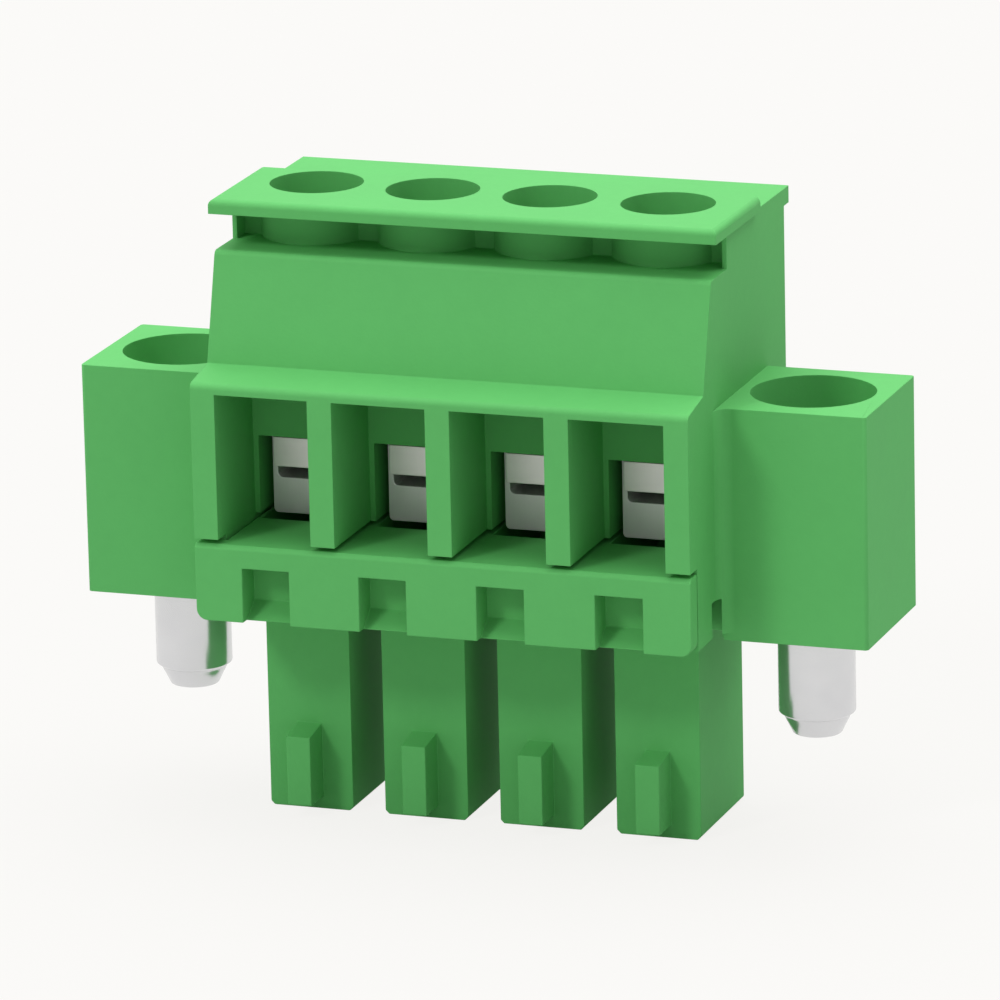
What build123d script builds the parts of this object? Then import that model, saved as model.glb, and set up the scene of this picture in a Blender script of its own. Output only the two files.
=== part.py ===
"""Four-pole pluggable terminal block plug with screw flanges, 3.81 mm pitch.

Wires go in at the front, the clamp screws are turned from above, and the plug is
pushed down onto a board header, whose pins enter the four shafts from below.
Lengths are in millimetres. X runs along the row, -Y is the wire side and +Z is up.
The origin is below the middle of the row, in the plane of the shaft ends.
"""
import os

from build123d import *

# Row of poles
poles = 4
pitch = 3.81
divider = 0.79

# Clearances between pieces
seam = 0.15
moulding_fit = 0.06
running_fit = 0.05
cage_play = 0.12
cage_side_play = 0.24

# Upper housing, seen from the side
body_depth = 9.90
chamber_height = 4.61
lintel_height = 0.31
lintel_round = 0.22
ledge_depth = 1.55
ledge_rise = 0.27
slope_run = 0.92
slope_rise = 3.35
slope_round = 0.20
groove_depth = 1.58
groove_height = 1.13
lip_reach = 0.50
lip_height = 0.55

# Top plate over the screw guides
plate_front = 2.47
plate_depth = 4.48
plate_thickness = 0.46
plate_overhang = 0.18
plate_round = 0.20

# Wire chambers and the guides of the clamp screws
throat_depth = 3.25
throat_height = 2.50
baffle = 0.32
screw_line = 5.45
guide_radius = 1.46
guide_wall = 0.29
guide_floor = 0.60
core_width = 2.20
core_depth = 0.60
core_height = 8.50

# Screw flanges
flange_width = 4.72
flange_front = 2.82
flange_depth = 5.21
flange_height = 7.33
flange_drop = 0.23
flange_axis = 2.265
flange_bore_radius = 1.94
flange_bore_depth = 4.00
flange_lead_in = 0.32
flange_inner_round = 0.50
flange_outer_round = 0.12

# Contact carrier with the four shafts
carrier_height = 2.60
strip_thickness = 0.65
strip_bevel = 0.12
strip_corner = 0.35
window_width = 1.525
window_height = 1.735
window_depth = 1.00
latch_height = 0.50
latch_reach = 0.33
floor_depth = 3.00
shaft_front = 3.51
shaft_width = 2.75
shaft_depth = 4.38
shaft_length = 6.96
shaft_bevel = 0.12
shaft_sole = 0.70
entry_width = 1.30
entry_bevel = 0.25
rib_width = 0.79
rib_reach = 1.10
rib_lift = 0.40
rib_height = 2.63
rib_bevel = 0.16
key_front = 2.20
key_width = 0.75
key_height = 1.00
key_reach = 0.40

# Tension sleeve of the clamp
cage_width = 2.20
cage_depth = 3.30
cage_wall = 0.18
cage_sole = 1.15
cage_crown = 1.60
cage_sink = 0.10
cage_travel = 1.50
cage_round = 0.15

# Contact with its current bar
bar_thickness = 0.80
bar_width = 1.40
slit = 0.44
apron_thickness = 0.25
apron_width = 1.84
apron_height = 0.95
strip_metal = 0.40
strip_bend = 0.45
leg_spread = 0.85
pinch_spread = 0.50
mouth_spread = 0.75
pinch_height = 2.00
contact_end = 0.20
contact_play = 0.12

# Clamp screws, slotted, M2, with the shank at its mean thread diameter
screw_radius = 0.87
screw_head_radius = 1.38
screw_head_height = 1.10
screw_tip = 0.30

# Captive flange screws, slotted, M2.5, with a thread wider than the hole in the flange
flange_thread_radius = 1.20
flange_shank_radius = 1.00
flange_screw_head_radius = 1.84
flange_screw_head_height = 1.60
flange_screw_reach = 3.51
point_radius = 0.88
point_length = 0.70
point_bevel = 0.22
slot_width = 0.45
slot_depth = 0.60
head_bevel = 0.12

# Heights of the main planes, from the shaft ends upwards
carrier_bottom = shaft_length
floor_top = carrier_bottom + carrier_height
housing_bottom = floor_top + seam
chamber_top = floor_top + chamber_height
throat_top = floor_top + throat_height
lintel_top = chamber_top + lintel_height
slope_foot = lintel_top + ledge_rise
slope_top = slope_foot + slope_rise
plate_bottom = slope_top + groove_height
plate_top = plate_bottom + plate_thickness
flange_bottom = carrier_bottom - flange_drop
flange_top = flange_bottom + flange_height

# The metal stack in each pole
cage_bottom = floor_top - cage_sink
bar_bottom = cage_bottom + cage_sole + slit
bar_top = bar_bottom + bar_thickness
cage_window_top = bar_top + cage_travel + cage_play
cage_top = cage_window_top + cage_crown
pocket_bottom = cage_bottom - cage_travel - cage_play
pocket_top = cage_top + cage_play
guide_bottom = pocket_top + guide_floor
screw_head_bottom = guide_bottom + running_fit
screw_head_top = screw_head_bottom + screw_head_height
screw_end = bar_top + running_fit

# Depths of the main planes, from the wire side backwards
front = -(body_depth + lip_reach) / 2
rear = front + body_depth
strip_back = front + strip_thickness
ledge_back = front + ledge_depth
slope_back = ledge_back + slope_run
groove_wall = slope_back + groove_depth
screw_y = front + screw_line
plate_y = front + plate_front
throat_back = front + throat_depth
flange_y = front + flange_front
shaft_y = front + shaft_front
shaft_back = shaft_y + shaft_depth
pin_y = shaft_y + shaft_depth / 2
cage_y = screw_y - cage_depth / 2
cage_back = cage_y + cage_depth
contact_y = cage_back + cage_play
contact_back = contact_y + strip_metal
pocket_back = contact_back + contact_play
pocket_front = throat_back + baffle

# Half widths and the places along the row
body_half = (poles * pitch + divider) / 2
bay_half = body_half - divider
carrier_half = bay_half - moulding_fit
pocket_width = cage_width + 2 * cage_side_play
pole_x = [(pole - (poles - 1) / 2) * pitch for pole in range(poles)]
flange_x = body_half + flange_axis


def nearest(shapes, *point):
    """The one of the shapes that lies nearest to a point."""
    return shapes.sort_by_distance(point)[0]


def block(width, y_from, y_to, z_from, z_to, x_places=(0,), mode=Mode.ADD):
    """A straight block across the row, at each of the places along it."""
    with BuildSketch(Plane.XY.offset(z_from)) as plan:
        with Locations(*[(x, (y_from + y_to) / 2) for x in x_places]):
            Rectangle(width, y_to - y_from)
    extrude(plan.sketch, amount=z_to - z_from, mode=mode)


def lower_mouths(piece):
    """The edges of the openings in a piece's lowest faces."""
    soles = piece.faces().group_by(Axis.Z)[0]
    return [edge for sole in soles for wire in sole.inner_wires() for edge in wire.edges()]


def housing_outline():
    """Side view of the body: chamber front, ledge, slope, groove and rear lip."""
    with BuildSketch(Plane.YZ) as outline:
        with BuildLine():
            Polyline(
                (strip_back + moulding_fit, carrier_bottom),
                (strip_back + moulding_fit, housing_bottom),
                (front, housing_bottom),
                (front, lintel_top),
                (ledge_back, slope_foot),
                (slope_back, slope_top),
                (groove_wall, slope_top),
                (groove_wall, plate_bottom),
                (rear + lip_reach, plate_bottom),
                (rear + lip_reach, plate_bottom - lip_height),
                (rear, plate_bottom - lip_height),
                (rear, carrier_bottom),
                close=True,
            )
        make_face()
        fillet(nearest(outline.vertices(), front, lintel_top), lintel_round)
        fillet(nearest(outline.vertices(), slope_back, slope_top), slope_round)
    extrude(outline.sketch, amount=body_half, both=True)


def top_plate():
    """The plate that joins the four screw guides, rounded at its front and its ends."""
    block(2 * (body_half + plate_overhang), plate_y, plate_y + plate_depth, plate_bottom, plate_top)
    rims = upper_housing.edges().group_by(Axis.Z)[-1].sort_by(Axis.Y)
    fillet(rims[:-1], plate_round)


def guide_tubes():
    """The tubes of the screw guides, which bulge out of the wall of the groove."""
    with BuildSketch(Plane.XY.offset(slope_top)) as tubes:
        with Locations(*[(x, screw_y) for x in pole_x]):
            Circle(guide_radius + guide_wall)
    extrude(tubes.sketch, amount=groove_height)


def wire_chambers():
    """The chambers, their throats and the pockets of the clamps, open downwards."""
    block(pitch - divider, front, throat_back, housing_bottom, chamber_top, pole_x, Mode.SUBTRACT)
    block(pocket_width, throat_back, pocket_front, housing_bottom, throat_top, pole_x, Mode.SUBTRACT)
    block(pocket_width, pocket_front, pocket_back, housing_bottom, pocket_top, pole_x, Mode.SUBTRACT)
    with Locations(*[(x, screw_y, plate_top) for x in pole_x]):
        CounterBoreHole(
            screw_radius + running_fit,
            guide_radius,
            plate_top - guide_bottom,
            plate_top - pocket_top,
        )


with BuildPart() as upper_housing:
    housing_outline()
    top_plate()
    flange_places = (-body_half - flange_width / 2, body_half + flange_width / 2)
    flange_back = flange_y + flange_depth
    block(flange_width, flange_y, flange_back, flange_bottom, flange_top, flange_places)
    uprights = upper_housing.edges().filter_by(Axis.Z)
    flange_middle = (flange_bottom + flange_top) / 2
    flange_end = body_half + flange_width
    inner_corners = []
    outer_corners = []
    for side in (-1, 1):
        inner_corners.append(nearest(uprights, side * body_half, flange_y, flange_middle))
        outer_corners.append(nearest(uprights, side * flange_end, flange_y, flange_middle))
        outer_corners.append(nearest(uprights, side * flange_end, flange_back, flange_middle))
    fillet(inner_corners, flange_inner_round)
    fillet(outer_corners, flange_outer_round)
    # The bay that takes the carrier, and the cores that keep the rear wall thin
    block(2 * bay_half, front, shaft_back + moulding_fit, carrier_bottom, housing_bottom, mode=Mode.SUBTRACT)
    core_y = (pocket_back + rear - core_depth) / 2
    core_top = carrier_bottom + core_height
    block(core_width, core_y, core_y + core_depth, carrier_bottom, core_top, pole_x, Mode.SUBTRACT)
    guide_tubes()
    wire_chambers()
    # Each flange screw passes a stepped hole with a lead-in at its lower mouth
    with Locations((-flange_x, screw_y, flange_top), (flange_x, screw_y, flange_top)):
        CounterBoreHole(
            flange_shank_radius + running_fit,
            flange_bore_radius,
            flange_bore_depth,
            flange_height,
        )
    chamfer(lower_mouths(upper_housing), flange_lead_in)
    # The notches for the keys of the carrier reach just into the flanges
    key_gap = 2 * moulding_fit
    notch_from = front + key_front - key_gap
    notch_to = front + key_front + key_width + key_gap
    notch_top = carrier_bottom + key_height + key_gap
    notch_half = body_half + key_gap
    block(2 * notch_half, notch_from, notch_to, carrier_bottom - flange_drop, notch_top, mode=Mode.SUBTRACT)
upper_housing.part.label = "upper_housing"


def front_strip():
    """The strip below the chambers, bevelled along its top edge and round at its ends."""
    with BuildSketch(Plane.XZ.offset(-strip_back)) as face:
        with Locations((0, (carrier_bottom + floor_top) / 2)):
            Rectangle(2 * body_half, carrier_height)
        fillet(face.vertices().group_by(Axis.Y)[0], strip_corner)
    extrude(face.sketch, amount=strip_thickness)


def latch_windows():
    """Windows in the strip, each with a sloped latch at its foot."""
    window_back = front + window_depth
    window_top = carrier_bottom + window_height
    block(window_width, front, window_back, carrier_bottom, window_top, pole_x, Mode.SUBTRACT)
    for x in pole_x:
        with BuildSketch(Plane.YZ.offset(x)) as latch:
            with BuildLine():
                Polyline(
                    (window_back, carrier_bottom),
                    (strip_back - latch_reach, carrier_bottom),
                    (window_back, carrier_bottom + latch_height),
                    close=True,
                )
            make_face()
        extrude(latch.sketch, amount=window_width / 2, both=True)


def shaft_ribs():
    """The coding rib on the front of each shaft, sloped at its top."""
    for x in pole_x:
        with BuildSketch(Plane.YZ.offset(x)) as rib:
            with BuildLine():
                Polyline(
                    (shaft_y, rib_lift),
                    (shaft_y - rib_reach, rib_lift),
                    (shaft_y - rib_reach, rib_height),
                    (shaft_y, rib_height + rib_bevel),
                    close=True,
                )
            make_face()
        extrude(rib.sketch, amount=rib_width / 2, both=True)


def contact_seats():
    """Pockets for clamp and contact, and the square pin entries with their bevels."""
    block(pocket_width, front + floor_depth, pocket_back, pocket_bottom, floor_top, pole_x, Mode.SUBTRACT)
    seat_width = bar_width + 2 * contact_play
    leg_room = leg_spread + strip_metal / 2 + contact_play
    seat_bottom = pocket_bottom - strip_metal - 2 * contact_play
    block(seat_width, pin_y - leg_room, pocket_back, seat_bottom, pocket_bottom, pole_x, Mode.SUBTRACT)
    block(seat_width, pin_y - leg_room, pin_y + leg_room, shaft_sole, seat_bottom, pole_x, Mode.SUBTRACT)
    block(entry_width, pin_y - entry_width / 2, pin_y + entry_width / 2, 0, shaft_sole, pole_x, Mode.SUBTRACT)
    chamfer(lower_mouths(contact_carrier), entry_bevel)


with BuildPart() as contact_carrier:
    block(2 * carrier_half, strip_back, shaft_back, carrier_bottom, floor_top)
    front_strip()
    strip_top = contact_carrier.edges().filter_by(Axis.X).group_by(Axis.Y)[0].sort_by(Axis.Z)[-1]
    chamfer(strip_top, strip_bevel)
    latch_windows()
    block(shaft_width, shaft_y, shaft_back, 0, carrier_bottom, pole_x)
    shaft_ends = contact_carrier.faces().group_by(Axis.Z)[0]
    chamfer([edge for end in shaft_ends for edge in end.edges().filter_by(Axis.Y)], shaft_bevel)
    shaft_ribs()
    # Keys at both ends, which sit in the notches of the upper housing
    key_from = front + key_front
    key_half = carrier_half + key_reach
    block(2 * key_half, key_from, key_from + key_width, carrier_bottom, carrier_bottom + key_height)
    contact_seats()
contact_carrier.part.label = "contact_carrier"


def tension_sleeve(x):
    """The sleeve that a clamp screw lifts: a block with a wire window and a tapped crown."""
    with BuildPart() as sleeve:
        with BuildSketch(Plane.XZ.offset(-cage_back)) as frame:
            with Locations((x, (cage_bottom + cage_top) / 2)):
                Rectangle(cage_width, cage_top - cage_bottom)
            fillet(frame.vertices(), cage_round)
        extrude(amount=cage_depth)
        with BuildSketch(Plane.XZ.offset(-cage_back)) as window:
            with Locations((x, (cage_bottom + cage_sole + cage_window_top) / 2)):
                Rectangle(cage_width - 2 * cage_wall, cage_window_top - cage_bottom - cage_sole)
            fillet(window.vertices(), cage_round)
        extrude(amount=cage_depth, mode=Mode.SUBTRACT)
        with Locations((x, screw_y, cage_top)):
            Hole(screw_radius + running_fit, depth=cage_crown + cage_round)
    return sleeve


def contact(x):
    """The bent contact: apron and current bar above, a two-leg spring in the shaft."""
    web_z = pocket_bottom - strip_metal / 2 - contact_play
    pinch_z = shaft_sole + contact_end + pinch_height
    end_z = shaft_sole + contact_end
    bend_z = (web_z + pinch_z) / 2
    back_y = contact_y + strip_metal / 2
    with BuildPart() as blade:
        with BuildSketch(Plane.YZ.offset(x)) as section:
            with BuildLine():
                FilletPolyline(
                    (back_y, bar_bottom + bar_thickness / 2),
                    (back_y, web_z),
                    (pin_y - leg_spread, web_z),
                    (pin_y - leg_spread, bend_z),
                    (pin_y - pinch_spread, pinch_z),
                    (pin_y - mouth_spread, end_z),
                    radius=strip_bend,
                )
            trace(line_width=strip_metal)
            with BuildLine():
                FilletPolyline(
                    (pin_y + leg_spread, web_z),
                    (pin_y + leg_spread, bend_z),
                    (pin_y + pinch_spread, pinch_z),
                    (pin_y + mouth_spread, end_z),
                    radius=strip_bend,
                )
            trace(line_width=strip_metal)
            with Locations(((apron_back + contact_back) / 2, (bar_bottom + bar_top) / 2)):
                Rectangle(contact_back - apron_back, bar_thickness)
        extrude(amount=bar_width / 2, both=True)
        apron_y = apron_back - apron_thickness
        block(apron_width, apron_y, apron_back, bar_bottom, bar_bottom + apron_height, (x,))
    return blade


def slotted_screw(x, outline, head_top, head_radius):
    """A screw turned from an outline of radius and height, with a driver slot."""
    with BuildPart() as screw:
        with BuildSketch(Plane.XZ.offset(-screw_y)):
            with BuildLine():
                Polyline(*[(x + radius, z) for radius, z in outline], close=True)
            make_face()
        revolve(axis=Axis((x, screw_y, 0), (0, 0, 1)))
        slot_bottom = head_top - slot_depth
        with BuildSketch(Plane.XY.offset(slot_bottom)):
            with Locations((x, screw_y)):
                Rectangle(2 * head_radius, slot_width)
        extrude(amount=slot_depth, mode=Mode.SUBTRACT)
    return screw


def head_outline(shank_radius, head_radius, head_bottom, head_top):
    """The part of a screw's outline from its shank over the head to the axis."""
    return [
        (shank_radius, head_bottom),
        (head_radius, head_bottom),
        (head_radius, head_top - head_bevel),
        (head_radius - head_bevel, head_top),
        (0, head_top),
    ]


apron_back = cage_y - cage_play
pieces = [("upper_housing", upper_housing), ("contact_carrier", contact_carrier)]

clamp_screw_outline = [
    (0, screw_end),
    (screw_radius - screw_tip, screw_end),
    (screw_radius, screw_end + screw_tip),
] + head_outline(screw_radius, screw_head_radius, screw_head_bottom, screw_head_top)
for number, x in enumerate(pole_x, start=1):
    clamp_screw = slotted_screw(x, clamp_screw_outline, screw_head_top, screw_head_radius)
    pieces.append((f"clamp_screw_{number}", clamp_screw))
    pieces.append((f"tension_sleeve_{number}", tension_sleeve(x)))
    pieces.append((f"contact_{number}", contact(x)))

flange_screw_end = flange_bottom - flange_screw_reach
flange_head_bottom = flange_top - flange_bore_depth + running_fit
flange_head_top = flange_head_bottom + flange_screw_head_height
flange_screw_outline = [
    (0, flange_screw_end),
    (point_radius, flange_screw_end),
    (point_radius, flange_screw_end + point_length - point_bevel),
    (flange_thread_radius, flange_screw_end + point_length),
    (flange_thread_radius, flange_bottom - running_fit),
    (flange_shank_radius, flange_bottom - running_fit),
] + head_outline(flange_shank_radius, flange_screw_head_radius, flange_head_bottom, flange_head_top)
for number, x in enumerate((-flange_x, flange_x), start=1):
    flange_screw = slotted_screw(x, flange_screw_outline, flange_head_top, flange_screw_head_radius)
    pieces.append((f"flange_screw_{number}", flange_screw))

os.makedirs("parts", exist_ok=True)
for name, piece in pieces:
    piece.part.label = name
    export_step(piece.part, f"parts/{name}.step")
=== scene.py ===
import math

import bpy
from mathutils import Matrix, Vector


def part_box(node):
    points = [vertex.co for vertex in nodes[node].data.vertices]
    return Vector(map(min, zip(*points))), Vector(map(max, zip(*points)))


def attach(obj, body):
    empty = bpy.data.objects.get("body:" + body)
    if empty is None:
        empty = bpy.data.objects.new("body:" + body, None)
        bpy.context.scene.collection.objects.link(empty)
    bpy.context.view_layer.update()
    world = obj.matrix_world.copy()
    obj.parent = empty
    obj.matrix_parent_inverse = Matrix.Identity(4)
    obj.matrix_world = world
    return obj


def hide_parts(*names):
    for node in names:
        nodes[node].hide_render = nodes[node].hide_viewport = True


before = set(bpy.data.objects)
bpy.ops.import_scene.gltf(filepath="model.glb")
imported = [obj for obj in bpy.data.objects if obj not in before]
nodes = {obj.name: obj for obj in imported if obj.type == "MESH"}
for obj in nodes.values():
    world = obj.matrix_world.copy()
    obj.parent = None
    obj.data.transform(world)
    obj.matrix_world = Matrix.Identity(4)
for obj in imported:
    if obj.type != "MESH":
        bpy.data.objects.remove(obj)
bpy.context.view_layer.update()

# The camera stands to the right of the plug's wire side and looks down on it a little, through a
# long lens, so that upright edges stay nearly parallel.
mm = 0.001
view_bearing = math.radians(19.443)
view_height = math.radians(15.576)
view_roll = math.radians(-1.278)
view_target = Vector((0.926, -2.2, 10.61)) * mm
view_distance = 268.19 * mm
view_lens = 314.43
view_near = 10 * mm
view_far = 10.0


def direction(bearing, height):
    """Points from the plug at this bearing, to the right of its wire side, and this angle up."""
    flat = math.cos(height)
    return Vector((math.sin(bearing) * flat, -math.cos(bearing) * flat, math.sin(height)))


away = direction(view_bearing, view_height)
across = (-away).cross(Vector((0, 0, 1))).normalized()
upward = across.cross(-away)
camera_axes = Matrix((
    across * math.cos(view_roll) + upward * math.sin(view_roll),
    upward * math.cos(view_roll) - across * math.sin(view_roll),
    away,
)).transposed()
camera = bpy.data.objects.new("camera", bpy.data.cameras.new("camera"))
bpy.context.scene.collection.objects.link(camera)
camera.data.lens = view_lens
camera.data.clip_start = view_near
camera.data.clip_end = view_far
camera.matrix_world = Matrix.Translation(view_target + away * view_distance) @ camera_axes.to_4x4()
bpy.context.scene.camera = camera
bpy.context.scene.view_settings.view_transform = "Standard"

# The contact carrier is the lower moulding, of green polyamide: four socket shafts under a floor and
# a front strip with latch windows. It snaps into the upper housing from below. Its mould is
# spark-eroded, which leaves a fine even grain.
deep_green = (0.088, 0.380, 0.101, 1)
pale_green = (0.107, 0.448, 0.122, 1)
grain_size = 0.11 * mm
grain_depth = 0.012 * mm
speck_size = 0.35 * mm
cloud_size = 2.6 * mm
carrier_edge = 0.035 * mm


class Shade:
    """A socket of a material's nodes. Sums, differences, products and powers of it add Math nodes."""

    def __init__(self, tree, socket=None):
        self.tree = tree
        self.socket = socket

    def node(self, kind, settings, sockets, out=0):
        """Adds a node, makes its settings, then fills or links its sockets, and gives one output."""
        made = self.tree.nodes.new(kind)
        for name, value in settings.items():
            setattr(made, name, value)
        for name, value in sockets.items():
            if isinstance(value, Shade):
                self.tree.links.new(value.socket, made.inputs[name])
            else:
                made.inputs[name].default_value = value
        return Shade(self.tree, made.outputs[out])

    def maths(self, operation, *values):
        return self.node("ShaderNodeMath", {"operation": operation}, dict(enumerate(values)))

    def __add__(self, other):
        return self.maths("ADD", self, other)

    def __radd__(self, other):
        return self.maths("ADD", other, self)

    def __sub__(self, other):
        return self.maths("SUBTRACT", self, other)

    def __rsub__(self, other):
        return self.maths("SUBTRACT", other, self)

    def __mul__(self, other):
        return self.maths("MULTIPLY", self, other)

    def __rmul__(self, other):
        return self.maths("MULTIPLY", other, self)

    def __pow__(self, other):
        return self.maths("POWER", self, other)

    def __rpow__(self, other):
        return self.maths("POWER", other, self)

    def mix(self, low, high):
        """The colour between low and high, by this value as the share of high."""
        settings = {"data_type": "RGBA"}
        return self.node("ShaderNodeMix", settings, {0: self, 6: low, 7: high}, 2)

    def noise(self, size, seed, detail=2.0):
        """Cloudy noise from 0 to 1 on this position, with blotches about as wide as size."""
        settings = {"noise_dimensions": "4D"}
        sockets = {"Vector": self, "W": seed, "Scale": 1 / size, "Detail": detail}
        return self.node("ShaderNodeTexNoise", settings, sockets, "Fac")

    def bump(self, depth, strength):
        """The normal of a surface that rises by depth where this height goes from 0 to 1."""
        sockets = {"Height": self, "Distance": depth, "Strength": strength}
        return self.node("ShaderNodeBump", {}, sockets, "Normal")

    def into(self, shader, name):
        self.tree.links.new(self.socket, shader.inputs[name])


def new_finish(name, **constants):
    """A material with these constants on its shader, as the material, the shader and the position."""
    finish = bpy.data.materials.new(name)
    finish.use_nodes = True
    shader = finish.node_tree.nodes["Principled BSDF"]
    for socket, value in constants.items():
        shader.inputs[socket.replace("_", " ")].default_value = value
    place = Shade(finish.node_tree).node("ShaderNodeTexCoord", {}, {}, "Object")
    return finish, shader, place


def green_polyamide(name, seed):
    """Satin green nylon with the mould's grain, and a dye that is a little cloudy and specked."""
    finish, shader, place = new_finish(name, IOR=1.5, Specular_IOR_Level=0.2)
    grain = place.noise(grain_size, seed, detail=3)
    cloud = place.noise(cloud_size, seed + 3)
    speck = place.noise(speck_size, seed + 7, detail=4)
    shade = cloud * 0.6 + speck * 0.4
    shade.mix(deep_green, pale_green).into(shader, "Base Color")
    roughness = 0.60 + cloud * 0.10 + grain * 0.06
    roughness.into(shader, "Roughness")
    grain.bump(grain_depth, strength=0.35).into(shader, "Normal")
    return finish


def soften_edges(node, width):
    """Rounds the node's sharp edges by width, as a tool or a die leaves them."""
    weld = node.modifiers.new("weld", "WELD")
    weld.merge_threshold = 0.001 * mm
    facets = node.modifiers.new("facets", "DECIMATE")
    facets.decimate_type = "DISSOLVE"
    facets.angle_limit = math.radians(0.4)
    edges = node.modifiers.new("edges", "BEVEL")
    edges.width = width
    edges.segments = 2
    edges.limit_method = "ANGLE"
    edges.angle_limit = math.radians(32)
    edges.use_clamp_overlap = False
    shading = node.modifiers.new("shading", "WEIGHTED_NORMAL")
    shading.weight = 100


def shaped_copy(name, node, finish, body):
    """A copy of this node in this finish, to be shaped further, which stands where the node stood."""
    piece = bpy.data.objects.new(name, nodes[node].data.copy())
    bpy.context.scene.collection.objects.link(piece)
    piece.data.materials.clear()
    piece.data.materials.append(finish)
    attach(piece, body)
    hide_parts(node)
    return piece


def lower_points(piece, above, below, drop):
    """Lowers the points of the piece that lie between two heights."""
    for vertex in piece.data.vertices:
        if above < vertex.co.z < below:
            vertex.co.z -= drop


# The picture shows the chambers' floor, and so the seam, a little lower than the solid has it, and
# the front edge of each clamp's hole in that floor a little further back.
floor_above = 9.30 * mm
floor_below = 9.60 * mm
floor_drop = 0.15 * mm
hole_front = -2.20 * mm
hole_shift = 0.25 * mm
near_enough = 0.01 * mm
plastic = green_polyamide("carrier_polyamide", seed=1.0)
carrier = shaped_copy("carrier_moulding", "contact_carrier", plastic, "plug")
lower_points(carrier, floor_above, floor_below, floor_drop)
for vertex in carrier.data.vertices:
    if vertex.co.z > floor_above and abs(vertex.co.y - hole_front) < near_enough:
        vertex.co.y += hole_shift
soften_edges(carrier, carrier_edge)

# Each contact is bent from one strip of tinned bronze: a flat bar that the wire is pressed against
# from below, and two spring legs that pinch the header's pin inside the shaft.
poles = range(1, 5)
dark_tin = (0.68, 0.65, 0.64, 1)
pale_tin = (0.82, 0.79, 0.78, 1)
draw_line_width = 0.05 * mm
draw_line_depth = 0.004 * mm
draw_line_stretch = (1, 1, 0.04)
plating_cloud_size = 0.8 * mm
contact_edge = 0.025 * mm


def sheet_metal(name, dark, pale, metallic, dullness, seed):
    """Rolled and plated strip, with fine draw lines along Z and a slightly cloudy plating."""
    finish, shader, place = new_finish(name, Metallic=metallic)
    multiply = {"operation": "MULTIPLY"}
    stretched = place.node("ShaderNodeVectorMath", multiply, {0: place, 1: draw_line_stretch})
    lines = stretched.noise(draw_line_width, seed, detail=3)
    cloud = place.noise(plating_cloud_size, seed + 2)
    shade = cloud * 0.7 + lines * 0.3
    shade.mix(dark, pale).into(shader, "Base Color")
    roughness = dullness + cloud * 0.08 + lines * 0.08
    roughness.into(shader, "Roughness")
    lines.bump(draw_line_depth, strength=0.3).into(shader, "Normal")
    return finish


tinned_bronze = sheet_metal(
    "tinned_bronze", dark_tin, pale_tin, metallic=0.6, dullness=0.32, seed=4.0
)
for pole in poles:
    contact = nodes[f"contact_{pole}"]
    contact.material_slots[0].material = tinned_bronze
    soften_edges(contact, contact_edge)

# A tension sleeve is a cage of nickel-plated steel round the contact's bar. The clamp screw pulls it
# up, so that its sole presses the wire against the bar.
dark_nickel = (0.68, 0.65, 0.67, 1)
pale_nickel = (0.84, 0.80, 0.82, 1)
sleeve_edge = 0.03 * mm
nickelled_steel = sheet_metal(
    "nickelled_steel", dark_nickel, pale_nickel, metallic=0.5, dullness=0.36, seed=9.0
)
for pole in poles:
    sleeve = nodes[f"tension_sleeve_{pole}"]
    sleeve.material_slots[0].material = nickelled_steel
    soften_edges(sleeve, sleeve_edge)

# The upper housing is the second moulding, of the same polyamide: wire chambers, screw guides under
# the top plate and a flange at each end. Slides of the tool leave gaps between the guides' tubes.
# The feet of its dividers stand on the carrier's floor, and so go down with it.
feet_above = 9.60 * mm
feet_below = 9.80 * mm
housing_edge = 0.018 * mm
plastic = green_polyamide("housing_polyamide", seed=2.0)
housing = shaped_copy("housing_moulding", "upper_housing", plastic, "plug")
lower_points(housing, feet_above, feet_below, floor_drop)

# The picture shows the gaps deeper than the solid has them. What is cut out is a band along the
# groove, back to the gaps' rear wall, less the round front of each tube.
pole_pitch = 3.81 * mm
row_middle = 2.5
groove_low = 18.10 * mm
groove_high = 19.23 * mm
groove_front = -1.62 * mm
gap_back = -0.45 * mm
gap_reach = 7.86 * mm
tube_y = 0.25 * mm
tube_radius = 1.74 * mm
tube_half_angle = math.acos((tube_y - gap_back) / tube_radius)
tube_steps = 16
outline = [
    (gap_reach, gap_back),
    (gap_reach, groove_front),
    (-gap_reach, groove_front),
    (-gap_reach, gap_back),
]
for pole in poles:
    tube_x = (pole - row_middle) * pole_pitch
    for step in range(tube_steps + 1):
        angle = tube_half_angle * (2 * step / tube_steps - 1)
        x = tube_x + tube_radius * math.sin(angle)
        y = tube_y - tube_radius * math.cos(angle)
        outline.append((x, y))
count = len(outline)
points = [(x, y, z) for z in (groove_low, groove_high) for x, y in outline]
faces = [list(range(count)), list(reversed(range(count, 2 * count)))]
for corner in range(count):
    after = (corner + 1) % count
    faces.append((after, corner, count + corner, count + after))
gap_mesh = bpy.data.meshes.new("gaps")
gap_mesh.from_pydata(points, [], faces)
gaps = bpy.data.objects.new("gaps", gap_mesh)
bpy.context.scene.collection.objects.link(gaps)
cut = housing.modifiers.new("gaps", "BOOLEAN")
cut.operation = "DIFFERENCE"
cut.solver = "EXACT"
cut.object = gaps
cut_housing = housing.evaluated_get(bpy.context.evaluated_depsgraph_get())
housing.data = bpy.data.meshes.new_from_object(cut_housing)
housing.modifiers.clear()
bpy.data.objects.remove(gaps)
soften_edges(housing, housing_edge)

# The clamp screws are slotted M2 screws of zinc-plated steel, turned on a lathe. They stay between
# the bar and the guides, and turn without moving up or down.
dark_zinc = (0.66, 0.66, 0.68, 1)
pale_zinc = (0.74, 0.74, 0.75, 1)
ring_width = 0.06 * mm
ring_depth = 0.003 * mm
zinc_cloud_size = 0.9 * mm
screw_edge = 0.03 * mm


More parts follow.
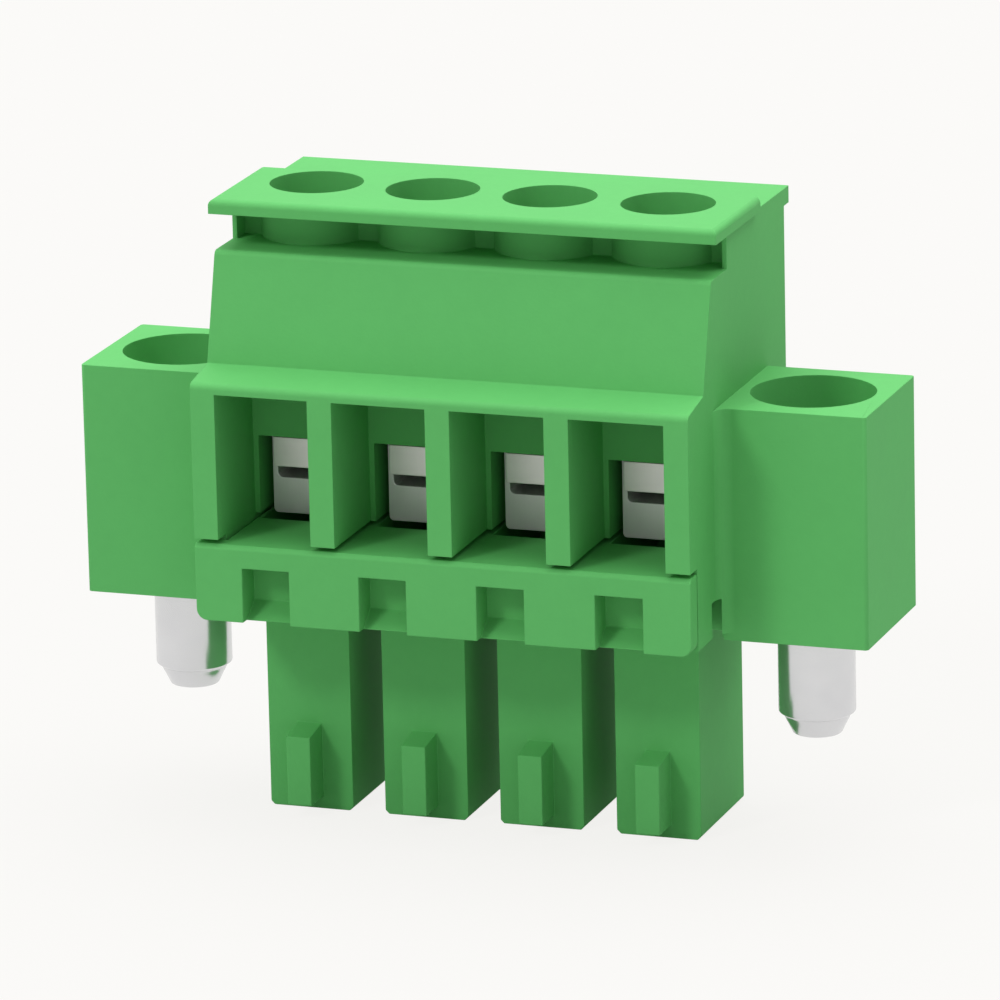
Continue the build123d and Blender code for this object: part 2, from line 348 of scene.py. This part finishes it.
def turned_steel(name, axis, seed):
    """Bright zinc on turned steel, with rings round the screw's own axis."""
    finish, shader, place = new_finish(name, Metallic=0.9, IOR=1.5)
    x = place.node("ShaderNodeSeparateXYZ", {}, {0: place}, "X") - axis.x
    y = place.node("ShaderNodeSeparateXYZ", {}, {0: place}, "Y") - axis.y
    z = place.node("ShaderNodeSeparateXYZ", {}, {0: place}, "Z")
    radius = (x ** 2 + y ** 2) ** 0.5
    along = {"W": z + radius, "Scale": 1 / ring_width, "Detail": 2.0}
    rings = place.node("ShaderNodeTexNoise", {"noise_dimensions": "1D"}, along, "Fac")
    cloud = place.noise(zinc_cloud_size, seed)
    cloud.mix(dark_zinc, pale_zinc).into(shader, "Base Color")
    roughness = 0.15 + cloud * 0.06 + rings * 0.06
    roughness.into(shader, "Roughness")
    rings.bump(ring_depth, strength=0.25).into(shader, "Normal")
    return finish


for pole in poles:
    screw = nodes[f"clamp_screw_{pole}"]
    low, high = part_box(f"clamp_screw_{pole}")
    screw.material_slots[0].material = turned_steel(f"zinc_{pole}", (low + high) / 2, seed=pole)
    soften_edges(screw, screw_edge)

# The flange screws are captive M2.5 screws of zinc-plated steel that fasten the plug to the header.
# Their point tapers, so that it finds the header's insert, where the solid has a straight cylinder.
# The shank is as smooth as in the picture.
point_low = 3.22 * mm
point_high = 3.70 * mm
point_end_radius = 0.76 * mm
point_top_radius = 1.00 * mm
solid_point_radius = 0.88 * mm
flange_seed = 20
for side in (1, 2):
    flange_screw = f"flange_screw_{side}"
    low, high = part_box(flange_screw)
    axis = (low + high) / 2
    finish = turned_steel(f"flange_zinc_{side}", axis, seed=flange_seed + side)
    screw = shaped_copy(f"captive_screw_{side}", flange_screw, finish, flange_screw)
    for vertex in screw.data.vertices:
        if vertex.co.z < point_high + near_enough:
            share = (vertex.co.z - point_low) / (point_high - point_low)
            radius = point_end_radius + (point_top_radius - point_end_radius) * share
            vertex.co.x = axis.x + (vertex.co.x - axis.x) * radius / solid_point_radius
            vertex.co.y = axis.y + (vertex.co.y - axis.y) * radius / solid_point_radius
    soften_edges(screw, screw_edge)

# The plug stands on a pale sheet of paper under a pale sky. The camera and the metal see both as
# near-white, and the light that they throw on the plug is set apart from that. The sheet lies a
# hair below the shafts' ends, so that the two don't share a plane.
sheet_seen = (0.06, 0.06, 0.06, 1)
sheet_glow = (0.861, 0.852, 0.835, 1)
sheet_bounce = (0.55, 0.55, 0.55, 1)
no_glow = (0, 0, 0, 1)
sky_seen = (0.965, 0.956, 0.939, 1)
sky_light = (0.53, 0.53, 0.53, 1)
sheet_reach = 3.0
sheet_level = -0.01 * mm


def seen_rays(shade):
    """1 for rays from the camera or off metal and glass, and 0 for the rays that carry light."""
    seen = shade.node("ShaderNodeLightPath", {}, {}, "Is Camera Ray")
    for kind in ("Is Glossy Ray", "Is Transmission Ray"):
        ray = shade.node("ShaderNodeLightPath", {}, {}, kind)
        seen = shade.maths("MAXIMUM", seen, ray)
    return seen


matt = {"Roughness": 1.0, "Specular_IOR_Level": 0.0, "Emission_Strength": 1.0}
paper, shader, place = new_finish("paper", **matt)
seen = seen_rays(place)
seen.mix(sheet_bounce, sheet_seen).into(shader, "Base Color")
seen.mix(no_glow, sheet_glow).into(shader, "Emission Color")
corners = [
    (-sheet_reach, -sheet_reach, sheet_level),
    (sheet_reach, -sheet_reach, sheet_level),
    (sheet_reach, sheet_reach, sheet_level),
    (-sheet_reach, sheet_reach, sheet_level),
]
sheet_mesh = bpy.data.meshes.new("floor")
sheet_mesh.from_pydata(corners, [], [(0, 1, 2, 3)])
sheet_mesh.materials.append(paper)
floor = bpy.data.objects.new("floor", sheet_mesh)
bpy.context.scene.collection.objects.link(floor)

sky = bpy.data.worlds.new("sky")
sky.use_nodes = True
seen = seen_rays(Shade(sky.node_tree))
seen.mix(sky_light, sky_seen).into(sky.node_tree.nodes["Background"], "Color")
bpy.context.scene.world = sky

# Two lamps light the plug from far off. A wide and soft one hangs over it and a little behind it,
# and a smaller and weaker one stands in front of it, to the left.
top_bearing = math.radians(180)
top_height = math.radians(78)
top_level = 1.06
top_spread = math.radians(70)
front_bearing = math.radians(-30)
front_height = math.radians(40)
front_level = 0.28
front_spread = math.radians(12)


def hang_lamp(name, towards_lamp, level, spread):
    """A far lamp that lights a face square to it at this level, with soft shadows by its spread."""
    lamp = bpy.data.objects.new(name, bpy.data.lights.new(name, "SUN"))
    lamp.data.energy = level * math.pi
    lamp.data.angle = spread
    lamp.rotation_mode = "QUATERNION"
    lamp.rotation_quaternion = towards_lamp.to_track_quat("Z", "Y")
    bpy.context.scene.collection.objects.link(lamp)


hang_lamp("top_lamp", direction(top_bearing, top_height), top_level, top_spread)
hang_lamp("front_lamp", direction(front_bearing, front_height), front_level, front_spread)
